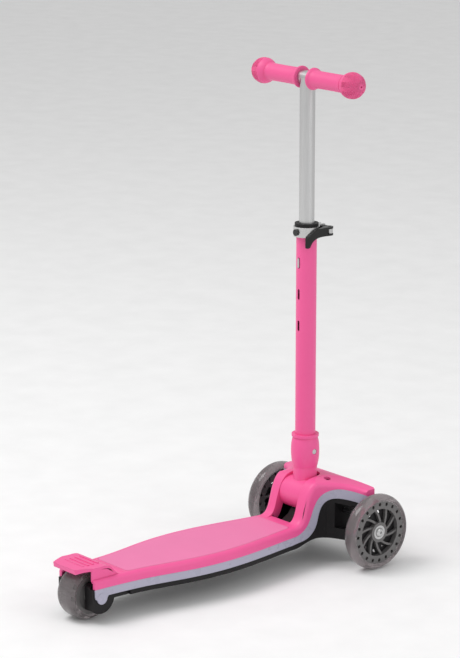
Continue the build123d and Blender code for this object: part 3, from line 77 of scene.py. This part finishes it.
camera_data = bpy.data.cameras.new("camera")
camera_data.lens = LENS
camera_data.sensor_width = SENSOR_WIDTH
camera_data.clip_end = FAR_CLIP
camera = bpy.data.objects.new("camera", camera_data)
scene.collection.objects.link(camera)
wheel_line = Vector((0, WHEEL_CENTRE_Y, 0))
camera.location = wheel_line + right * CAMERA_ASIDE + up * CAMERA_ABOVE + back * CAMERA_DISTANCE
camera.rotation_mode = "QUATERNION"
camera.rotation_quaternion = (-back).to_track_quat("-Z", "Y")
scene.camera = camera
scene.view_settings.view_transform = "Standard"


# ------------------------------------------------------------------ finishes
# a pale colour mixed into the rounded edges as a painted highlight
PAINTED_RIM_HIGHLIGHT = (1.0, 0.93, 0.95, 1)
DUST = (0.72, 0.70, 0.68, 1)
RIM_GAIN = 5.0
MOULDED_EDGE = 0.0007  # radius that the light sees on a moulded edge
METAL_EDGE = 0.0004

# a Mix node's sockets share their names, so they are reached by place
MIX_FACTOR = 0
MIX_FLOAT_A, MIX_FLOAT_B = 2, 3
MIX_COLOUR_A, MIX_COLOUR_B = 6, 7
MIX_FLOAT_OUT = 0
MIX_COLOUR_OUT = 2


def new_group(name, inputs, outputs):
    """An empty shader group with named inputs (kind, default) and outputs."""
    group = bpy.data.node_groups.new(name, "ShaderNodeTree")
    kinds = {"value": "NodeSocketFloat", "colour": "NodeSocketColor", "vector": "NodeSocketVector"}
    for socket, (kind, default) in inputs.items():
        made = group.interface.new_socket(socket, in_out="INPUT", socket_type=kinds[kind])
        made.default_value = default
    for socket, kind in outputs.items():
        group.interface.new_socket(socket, in_out="OUTPUT", socket_type=kinds[kind])
    return group


def place(tree, kind, **values):
    """A new node, with the given properties, or inputs where the name is one."""
    node = tree.nodes.new(kind)
    for name, value in values.items():
        if name in node.inputs:
            node.inputs[name].default_value = value
        else:
            setattr(node, name, value)
    return node


def math_node(tree, operation, a, b, clamp=False):
    """A Math node between two links or numbers; returns its output."""
    node = tree.nodes.new("ShaderNodeMath")
    node.operation = operation
    node.use_clamp = clamp
    for socket, value in zip(node.inputs, (a, b)):
        if isinstance(value, (int, float)):
            socket.default_value = value
        else:
            tree.links.new(value, socket)
    return node.outputs[0]


def noise(tree, coordinates, scale, detail=2.0, roughness=0.5):
    """A noise texture of one scale; returns its value output."""
    node = place(tree, "ShaderNodeTexNoise", Scale=scale, Detail=detail, Roughness=roughness)
    tree.links.new(coordinates, node.inputs["Vector"])
    return node.outputs["Fac"]


def build_moulded_skin():
    """Moulded or painted skin: uneven colour, soft edges, rims lightened as a painted highlight, grain and
    smudges.
    """
    group = new_group(
        "moulded_skin",
        {
            "Colour": ("colour", (0.5, 0.5, 0.5, 1)),
            "Unevenness": ("value", 0.05),
            "Grain per metre": ("value", 1500.0),
            "Grain depth": ("value", 0.15),
            "Roughness": ("value", 0.4),
            "Smudges": ("value", 0.08),
            "Rim highlight": ("value", 0.1),
            "Dust": ("value", 0.05),
        },
        {"Colour": "colour", "Roughness": "value", "Normal": "vector"},
    )
    link = group.links.new
    given = group.nodes.new("NodeGroupInput").outputs
    out = group.nodes.new("NodeGroupOutput").inputs
    where = group.nodes.new("ShaderNodeTexCoord").outputs["Object"]
    cloud = noise(group, where, 14.0, 3.0)
    smear = noise(group, where, 55.0, 4.0, 0.6)
    grain = group.nodes.new("ShaderNodeTexNoise")
    link(where, grain.inputs["Vector"])
    link(given["Grain per metre"], grain.inputs["Scale"])
    grain.inputs["Detail"].default_value = 1.0

    # rims: where the rounded normal leaves the true one; there the colour is lightened as a painted
    # highlight
    soft = place(group, "ShaderNodeBevel", samples=4, Radius=MOULDED_EDGE)
    true_normal = group.nodes.new("ShaderNodeNewGeometry").outputs["Normal"]
    facing = place(group, "ShaderNodeVectorMath", operation="DOT_PRODUCT")
    link(soft.outputs["Normal"], facing.inputs[0])
    link(true_normal, facing.inputs[1])
    bent = math_node(group, "SUBTRACT", 1.0, facing.outputs["Value"])
    highlight_rim = math_node(group, "MULTIPLY", bent, RIM_GAIN, True)

    # colour
    shade = math_node(group, "MULTIPLY", math_node(group, "SUBTRACT", cloud, 0.5), given["Unevenness"])
    tone = place(group, "ShaderNodeHueSaturation")
    link(math_node(group, "ADD", math_node(group, "MULTIPLY", shade, 2.0), 1.0), tone.inputs["Value"])
    link(given["Colour"], tone.inputs["Color"])
    # painted highlight: the rims are mixed towards a pale colour
    highlighted = place(group, "ShaderNodeMix", data_type="RGBA", blend_type="MIX")
    link(math_node(group, "MULTIPLY", highlight_rim, given["Rim highlight"]), highlighted.inputs[MIX_FACTOR])
    link(tone.outputs["Color"], highlighted.inputs[MIX_COLOUR_A])
    highlighted.inputs[MIX_COLOUR_B].default_value = PAINTED_RIM_HIGHLIGHT
    settled = group.nodes.new("ShaderNodeSeparateXYZ")
    link(true_normal, settled.inputs[0])
    patchy = math_node(group, "SUBTRACT", smear, 0.35)
    lying = math_node(group, "MULTIPLY", settled.outputs["Z"], patchy, True)
    dusty = place(group, "ShaderNodeMix", data_type="RGBA", blend_type="MIX")
    link(math_node(group, "MULTIPLY", lying, given["Dust"], True), dusty.inputs[MIX_FACTOR])
    link(highlighted.outputs[MIX_COLOUR_OUT], dusty.inputs[MIX_COLOUR_A])
    dusty.inputs[MIX_COLOUR_B].default_value = DUST
    link(dusty.outputs[MIX_COLOUR_OUT], out["Colour"])

    # roughness
    handled = math_node(group, "MULTIPLY", math_node(group, "SUBTRACT", smear, 0.5), given["Smudges"])
    link(math_node(group, "ADD", given["Roughness"], handled, True), out["Roughness"])

    # relief
    bump = place(group, "ShaderNodeBump", Distance=0.0002)
    link(given["Grain depth"], bump.inputs["Strength"])
    link(grain.outputs["Fac"], bump.inputs["Height"])
    link(soft.outputs["Normal"], bump.inputs["Normal"])
    link(bump.outputs["Normal"], out["Normal"])
    return group


def build_drawn_metal():
    """Drawn or turned metal: fine lines along one way, dull patches and bright rims."""
    group = new_group(
        "drawn_metal",
        {
            "Colour": ("colour", (0.7, 0.7, 0.7, 1)),
            "Across": ("vector", (400.0, 400.0, 6.0)),
            "Line depth": ("value", 0.1),
            "Roughness": ("value", 0.3),
            "Patches": ("value", 0.1),
        },
        {"Colour": "colour", "Roughness": "value", "Normal": "vector"},
    )
    link = group.links.new
    given = group.nodes.new("NodeGroupInput").outputs
    out = group.nodes.new("NodeGroupOutput").inputs
    where = group.nodes.new("ShaderNodeTexCoord").outputs["Object"]
    stretched = place(group, "ShaderNodeVectorMath", operation="MULTIPLY")
    link(where, stretched.inputs[0])
    link(given["Across"], stretched.inputs[1])
    lines = noise(group, stretched.outputs["Vector"], 4.0, 3.0)
    patches = noise(group, where, 40.0, 3.0)
    tone = place(group, "ShaderNodeHueSaturation")
    spread = math_node(group, "MULTIPLY", math_node(group, "SUBTRACT", lines, 0.5), 0.3)
    link(math_node(group, "ADD", spread, 1.0), tone.inputs["Value"])
    link(given["Colour"], tone.inputs["Color"])
    link(tone.outputs["Color"], out["Colour"])
    dull = math_node(group, "MULTIPLY", math_node(group, "SUBTRACT", patches, 0.5), given["Patches"])
    link(math_node(group, "ADD", given["Roughness"], dull, True), out["Roughness"])
    soft = place(group, "ShaderNodeBevel", samples=4, Radius=METAL_EDGE)
    bump = place(group, "ShaderNodeBump", Distance=0.0001)
    link(given["Line depth"], bump.inputs["Strength"])
    link(lines, bump.inputs["Height"])
    link(soft.outputs["Normal"], bump.inputs["Normal"])
    link(bump.outputs["Normal"], out["Normal"])
    return group


moulded_skin = build_moulded_skin()
drawn_metal = build_drawn_metal()


def finish_from(name, group, values, shader):
    """A material whose Principled shader is fed by one of the groups."""
    material = bpy.data.materials.new(name)
    material.use_nodes = True
    tree = material.node_tree
    principled = tree.nodes["Principled BSDF"]
    for socket, value in shader.items():
        principled.inputs[socket].default_value = value
    skin = tree.nodes.new("ShaderNodeGroup")
    skin.node_tree = group
    for socket, value in values.items():
        skin.inputs[socket].default_value = value
    tree.links.new(skin.outputs["Colour"], principled.inputs["Base Color"])
    tree.links.new(skin.outputs["Roughness"], principled.inputs["Roughness"])
    tree.links.new(skin.outputs["Normal"], principled.inputs["Normal"])
    return material


# the rim value sets how strongly rounded edges are lightened as a painted highlight
def plastic(name, colour, roughness, grain=0.15, fineness=1500.0, highlight_rim=0.1, dust=0.04, **shader):
    """A moulded plastic, rubber or paint."""
    values = {
        "Colour": (*colour, 1),
        "Roughness": roughness,
        "Grain depth": grain,
        "Grain per metre": fineness,
        "Rim highlight": highlight_rim,
        "Dust": dust,
    }
    return finish_from(name, moulded_skin, values, shader)


def metal(name, colour, roughness, across=(400, 400, 6), depth=0.1):
    """A bare metal with its lines across the given scales."""
    values = {"Colour": (*colour, 1), "Roughness": roughness, "Across": across, "Line depth": depth}
    return finish_from(name, drawn_metal, values, {"Metallic": 1.0})


PINK = (0.90, 0.105, 0.335)
PAINTED_PINK = (0.88, 0.105, 0.325)
finishes = {
    "pink_shell": plastic("pink_shell", PINK, 0.42, 0.12, 2200.0, 0.10),
    "pink_paint": plastic("pink_paint", PAINTED_PINK, 0.38, 0.05, 900.0, 0.05),
    "tread_rubber": plastic("tread_rubber", (0.83, 0.20, 0.42), 0.62, 0.5, 1400.0, 0.04),
    "grip_rubber": plastic("grip_rubber", (0.84, 0.10, 0.30), 0.5, 0.25, 1800.0, 0.06),
    "strip_lens": plastic("strip_lens", (0.42, 0.41, 0.52), 0.28, 0.05, 600.0, 0.15),
    "black_plastic": plastic(
        "black_plastic", (0.006, 0.005, 0.006), 0.5, 0.2, 1600.0, 0.02, 0.01, **{"Specular IOR Level": 0.3}
    ),
    "black_gloss": plastic(
        "black_gloss", (0.007, 0.007, 0.007), 0.32, 0.1, 1600.0, 0.03, 0.01, **{"Specular IOR Level": 0.4}
    ),
    "pad_rubber": plastic("pad_rubber", (0.02, 0.02, 0.02), 0.7, 0.5, 900.0, 0.03),
    "circuit_board": plastic("circuit_board", (0.6, 0.62, 0.55), 0.5),
    "cell_wrap": plastic("cell_wrap", (0.05, 0.07, 0.12), 0.35),
    "wheel_core": plastic("wheel_core", (0.13, 0.125, 0.125), 0.22, 0.05, 800.0, 0.25),
    "wheel_tyre": plastic(
        "wheel_tyre",
        (0.42, 0.375, 0.385),
        0.16,
        0.03,
        700.0,
        0.1,
        0.02,
        **{"Transmission Weight": 0.72, "IOR": 1.42},
    ),
    "silver_tube": metal("silver_tube", (0.62, 0.62, 0.62), 0.34),
    "steel": metal("steel", (0.55, 0.55, 0.55), 0.3, (90, 90, 90)),
    "black_steel": plastic("black_steel", (0.015, 0.015, 0.016), 0.35, 0.1),
}

slots = {part["node"]: part["material_slot"] for part in frame["record"]["subparts"]}
for name, part in nodes.items():
    part.data.materials.clear()
    part.data.materials.append(finishes.get(slots[name], finishes["steel"]))

# ------------------------------------------------------------------ detailed pieces
SHARP_FROM = math.radians(34)


def joined_mesh(name, builder):
    """An object from one bmesh builder, smooth shaded with its sharp edges kept."""
    shape = bmesh.new()
    builder(shape)
    bmesh.ops.recalc_face_normals(shape, faces=shape.faces)
    mesh = bpy.data.meshes.new(name)
    shape.to_mesh(mesh)
    shape.free()
    mesh.polygons.foreach_set("use_smooth", [True] * len(mesh.polygons))
    mesh.set_sharp_from_angle(angle=SHARP_FROM)
    piece = bpy.data.objects.new(name, mesh)
    scene.collection.objects.link(piece)
    return piece


def turned(shape, outline, centre, steps, radius_at=None):
    """A closed ring of an outline of (x, radius) turned about an axis along X through centre."""
    rings = []
    for i in range(steps):
        turn = 2 * math.pi * i / steps
        ring = []
        for x, radius in outline:
            reach = radius if radius_at is None else radius_at(x, radius, turn)
            ring.append(
                shape.verts.new(
                    (centre[0] + x, centre[1] + reach * math.cos(turn), centre[2] + reach * math.sin(turn))
                )
            )
        rings.append(ring)
    for i, ring in enumerate(rings):
        after = rings[(i + 1) % steps]
        for j, corner in enumerate(ring):
            k = (j + 1) % len(ring)
            shape.faces.new((corner, ring[k], after[k], after[j]))


def dress(piece, body, slot_name, *stands_for):
    """Give a piece its finish, the body it rides on and the CAD nodes it stands for."""
    piece.data.materials.append(finishes[slot_name])
    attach(piece, body)
    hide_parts(*stands_for)


BAR_R = 0.011
GRIP_R = 0.0136
FLANGE_R = 0.017
KNOB_R = 0.0204
RIDGE_DEPTH = 0.0011
RIDGE_SPAN = 0.0036
RIDGE_START = 0.006  # how far before the ball's middle the ridges begin
CHEVRONS = 8
CHEVRON_SLANT = 0.0105
VENT_R = 0.0017
VENT_DEPTH = 0.004
AXIS_GAP = 0.0001
WAIST_R = 0.015  # where the ball meets the barrel's end
BORE_SHORT = 0.0135  # the bore's end, before the ball's middle
BARREL_SINK = 0.0002
BARREL_STEPS = 12
BALL_STEPS = 120
GRIP_STEPS = 288


def smooth_between(low, high, value):
    """Zero below low, one above high, with soft ends."""
    share = min(1.0, max(0.0, (value - low) / (high - low)))
    return share * share * (3 - 2 * share)


def build_grip(hand):
    """A handle grip: flange, waisted barrel, and a ball end ridged like herringbone."""
    node = f"grip_{hand}"
    low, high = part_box(node)
    side = 1 if hand == "right" else -1
    inner = low[0] if side > 0 else -high[0]
    outer = high[0] if side > 0 else -low[0]
    centre_y, centre_z = (low[1] + high[1]) / 2, (low[2] + high[2]) / 2
    knob_x = outer - KNOB_R
    bore_end = knob_x - BORE_SHORT
    outline = [
        (inner, BAR_R),
        (inner, FLANGE_R - 0.0012),
        (inner + 0.0003, FLANGE_R - 0.0005),
        (inner + 0.001, FLANGE_R),
        (inner + 0.0032, FLANGE_R),
        (inner + 0.0042, FLANGE_R - 0.0004),
        (inner + 0.0056, GRIP_R + 0.0014),
        (inner + 0.0075, GRIP_R + 0.0004),
    ]
    barrel_start = inner + 0.0095
    barrel_end = knob_x - 0.0195
    for i in range(BARREL_STEPS + 1):
        share = i / BARREL_STEPS
        along = barrel_start + (barrel_end - barrel_start) * share
        outline.append((along, GRIP_R - BARREL_SINK * math.sin(math.pi * share)))
    outline += [(knob_x - 0.0178, GRIP_R + 0.0003), (knob_x - 0.0162, GRIP_R + 0.0012)]
    first = math.acos(WAIST_R / KNOB_R)
    for i in range(BALL_STEPS):
        bend = (math.pi - first) * (1 - i / (BALL_STEPS - 1))
        bend = max(bend, VENT_R / KNOB_R)
        outline.append((knob_x + KNOB_R * math.cos(bend), KNOB_R * math.sin(bend)))
    pole_x = knob_x + math.sqrt(KNOB_R**2 - VENT_R**2)
    outline += [
        (pole_x - 0.0003, VENT_R * 0.82),
        (pole_x - VENT_DEPTH, VENT_R * 0.8),
        (pole_x - VENT_DEPTH, AXIS_GAP),
        (bore_end, AXIS_GAP),
        (bore_end, BAR_R),
    ]

    def ridged(x, radius, turn):
        """Chevron ridges over the outer part of the ball, fading before the pole and the waist."""
        x = abs(x)
        if radius < VENT_R * 1.6 or x < knob_x - RIDGE_START:
            return radius
        fade_in = smooth_between(knob_x - RIDGE_START, knob_x - 0.002, x)
        fade = fade_in * smooth_between(0.004, 0.006, radius)
        around = (turn / (2 * math.pi) * CHEVRONS) % 1.0
        slant = abs(around - 0.5) * 2 * CHEVRON_SLANT
        wave = math.cos(2 * math.pi * (x + slant) / RIDGE_SPAN)
        return radius + RIDGE_DEPTH * fade * (smooth_between(-0.35, 0.35, wave) - 1)

    mirrored = [(side * x, radius) for x, radius in outline]

    def builder(shape):
        turned(shape, mirrored, (0, centre_y, centre_z), GRIP_STEPS, ridged)

    piece = joined_mesh(f"handle_grip_{hand}", builder)
    dress(piece, "handle", "grip_rubber", node)


for grip_hand in ("left", "right"):
    build_grip(grip_hand)

TYRE_R = 0.060
TYRE_HALF = 0.012
CROWN_HALF = 0.0117
CROWN_DROP = 0.0052  # how much lower the tread is at its rims
CROWN_POWER = 2.4
CROWN_STEPS = 15
BAND_R = 0.05005  # outer radius of the core's window band
WEB_INNER_R = 0.0155
WEB_OUTER_R = 0.0379
WEB_T = 0.0016
WEB_HOLES = 10
WEB_HOLES_R = 0.0315  # from the axle to a window's middle
WEB_HOLE_HALF = 0.0021
WEB_HOLE_STRETCH = 1.7
WEB_HOLE_TURN = 0.9
WEB_FIRST = 0.3  # share of a step by which the windows start past the axis
WHEEL_STEPS = 160


def build_clear_tyre(hand):
    """The clear outer ring of a front wheel, with a lip, a groove and a crowned tread."""
    node = f"front_tyre_{hand}"
    low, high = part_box(node)
    centre = [(low[i] + high[i]) / 2 for i in range(3)]
    side_form = [
        (0.0088, BAND_R),
        (0.0098, BAND_R + 0.0001),
        (0.0101, BAND_R + 0.0012),
        (0.0110, BAND_R + 0.0015),
        (0.0119, BAND_R + 0.0022),
        (TYRE_HALF, BAND_R + 0.0032),
        (0.0118, BAND_R + 0.0044),
    ]
    crown = []
    for i in range(CROWN_STEPS):
        share = -1 + 2 * (i + 0.5) / CROWN_STEPS
        x = -share * CROWN_HALF
        crown.append((x, TYRE_R - CROWN_DROP * abs(share) ** CROWN_POWER))
    outline = side_form + crown + [(-x, radius) for x, radius in reversed(side_form)]

    def builder(shape):
        turned(shape, outline, centre, WHEEL_STEPS)

    piece = joined_mesh(f"clear_tyre_{hand}", builder)
    dress(piece, f"front_wheel_{hand}", "wheel_tyre", node)


def ring_spline(curve, radius, points, around=(0.0, 0.0), stretch=1.0, turn=0.0):
    """A closed loop in a flat curve: a circle, or an oval turned about its own middle."""
    spline = curve.splines.new("POLY")
    spline.points.add(points - 1)
    for i in range(points):
        angle = 2 * math.pi * i / points
        along, aside = radius * stretch * math.cos(angle), radius * math.sin(angle)
        spline.points[i].co = (
            around[0] + along * math.cos(turn) - aside * math.sin(turn),
            around[1] + along * math.sin(turn) + aside * math.cos(turn),
            0,
            1,
        )
    spline.use_cyclic_u = True


def build_wheel_web(hand):
    """The dark web inside a front wheel, behind the spokes, with ten small windows: partly a back web of
    the core, partly a dark sheet standing in for the shade inside the wheel.
    """
    low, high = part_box(f"front_core_{hand}")
    centre = [(low[i] + high[i]) / 2 for i in range(3)]
    flat = bpy.data.curves.new(f"web_{hand}", "CURVE")
    flat.dimensions = "2D"
    flat.fill_mode = "BOTH"
    flat.extrude = WEB_T / 2
    ring_spline(flat, WEB_OUTER_R, 96)
    ring_spline(flat, WEB_INNER_R, 48)
    for i in range(WEB_HOLES):
        angle = 2 * math.pi * (i + WEB_FIRST) / WEB_HOLES
        middle = (WEB_HOLES_R * math.cos(angle), WEB_HOLES_R * math.sin(angle))
        ring_spline(flat, WEB_HOLE_HALF, 20, middle, WEB_HOLE_STRETCH, angle + WEB_HOLE_TURN)
    holder = bpy.data.objects.new("web_holder", flat)
    scene.collection.objects.link(holder)
    bpy.context.view_layer.update()
    shown = holder.evaluated_get(bpy.context.evaluated_depsgraph_get())
    mesh = bpy.data.meshes.new_from_object(shown)
    bpy.data.objects.remove(holder)
    for corner in mesh.vertices:
        y, z, x = corner.co
        corner.co = (centre[0] + x, centre[1] + y, centre[2] + z)
    mesh.materials.clear()
    piece = bpy.data.objects.new(f"wheel_web_{hand}", mesh)
    scene.collection.objects.link(piece)
    # black disc: partly the core's back web, partly painted shade inside the wheel
    piece.data.materials.append(finishes["black_plastic"])
    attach(piece, f"front_wheel_{hand}")


for wheel_hand in ("left", "right"):
    build_clear_tyre(wheel_hand)
    build_wheel_web(wheel_hand)

REAR_WINDOWS = 12
WINDOW_SPAN = 0.21  # how far one window goes round the axle, in radians
WINDOW_ROWS = 5
WINDOW_PROUD = 0.00015
WINDOW_SUNK = -0.0006
SHOULDER = [(0.0197, 0.0334), (0.0189, 0.0346), (0.0180, 0.0358), (0.0171, 0.0368)]
SHOULDER_LEAN = (0.6, 0.8)  # the way the shoulder faces, along the axle and outward


def build_rear_window_shade():
    """The dark windows that show through both shoulders of the rear tyre, drawn as black patches: painted
    shade for the hollows of the core's windows.
    """
    low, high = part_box("rear_tyre")
    centre = [(low[i] + high[i]) / 2 for i in range(3)]

    def window_grid(shape, side, middle, depth):
        """One face of a window: rows of corners that follow the shoulder, at a depth."""
        lean_x, lean_out = SHOULDER_LEAN
        rows = []
        for x, radius in SHOULDER:
            reach = radius + depth * lean_out
            row = []
            for j in range(WINDOW_ROWS + 1):
                turn = middle + (j / WINDOW_ROWS - 0.5) * WINDOW_SPAN
                point = (
                    centre[0] + side * (x + depth * lean_x),
                    centre[1] + reach * math.cos(turn),
                    centre[2] + reach * math.sin(turn),
                )
                row.append(shape.verts.new(point))
            rows.append(row)
        return rows

    def close_window(shape, outer, inner):
        """The two faces of a window and the four walls between them."""
        last = len(SHOULDER) - 1
        for rows in (outer, inner):
            for a in range(last):
                for b in range(WINDOW_ROWS):
                    shape.faces.new((rows[a][b], rows[a][b + 1], rows[a + 1][b + 1], rows[a + 1][b]))
        for a in range(last):
            for b in (0, WINDOW_ROWS):
                shape.faces.new((outer[a][b], outer[a + 1][b], inner[a + 1][b], inner[a][b]))
        for b in range(WINDOW_ROWS):
            for a in (0, last):
                shape.faces.new((outer[a][b], outer[a][b + 1], inner[a][b + 1], inner[a][b]))

    def builder(shape):
        for side in (-1, 1):
            for i in range(REAR_WINDOWS):
                middle = 2 * math.pi * i / REAR_WINDOWS
                outer = window_grid(shape, side, middle, WINDOW_PROUD)
                inner = window_grid(shape, side, middle, WINDOW_SUNK)
                close_window(shape, outer, inner)

    piece = joined_mesh("rear_window_shade", builder)
    # black finish here is painted shade for the hollow windows
    piece.data.materials.append(finishes["black_plastic"])
    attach(piece, "rear_wheel")


build_rear_window_shade()

# ------------------------------------------------------------------ floor and light
FLOOR_HALF = 14.0
LIT_STRENGTH = 0.62  # of the white surround, as the pieces see it
SEEN_STRENGTH = 1.0
LIGHT_SIZE = 2.0
LIGHT_AIM = (0, 0, 0.3)

floor_mesh = bpy.data.meshes.new("floor")
corners = [(x * FLOOR_HALF, y * FLOOR_HALF, 0) for x, y in ((-1, -1), (1, -1), (1, 1), (-1, 1))]
floor_mesh.from_pydata(corners, [], [(0, 1, 2, 3)])
floor = bpy.data.objects.new("floor", floor_mesh)
scene.collection.objects.link(floor)
floor_mesh.materials.append(
    plastic("pale_floor", (0.93, 0.93, 0.93), 0.8, 0.02, 40.0, 0.0, 0.0, **{"Specular IOR Level": 0.1})
)

world = bpy.data.worlds.new("studio")
world.use_nodes = True
surround = world.node_tree.nodes["Background"]
surround.inputs["Color"].default_value = (1, 1, 1, 1)
seen = world.node_tree.nodes.new("ShaderNodeLightPath")
dimmer = world.node_tree.nodes.new("ShaderNodeMix")
dimmer.data_type = "FLOAT"
dimmer.inputs[MIX_FLOAT_A].default_value = LIT_STRENGTH
dimmer.inputs[MIX_FLOAT_B].default_value = SEEN_STRENGTH
world.node_tree.links.new(seen.outputs["Is Camera Ray"], dimmer.inputs[MIX_FACTOR])
world.node_tree.links.new(dimmer.outputs[MIX_FLOAT_OUT], surround.inputs["Strength"])
scene.world = world


def soft_light(name, place_at, power):
    """A square studio light that faces the middle of the scooter."""
    data = bpy.data.lights.new(name, "AREA")
    data.size = LIGHT_SIZE
    data.energy = power
    lamp = bpy.data.objects.new(name, data)
    scene.collection.objects.link(lamp)
    lamp.location = place_at
    lamp.rotation_mode = "QUATERNION"
    lamp.rotation_quaternion = (Vector(LIGHT_AIM) - Vector(place_at)).to_track_quat("-Z", "Y")


soft_light("key_light", (-1.0, -1.6, 3.6), 75)
soft_light("fill_light", (2.8, 0.6, 1.6), 14)
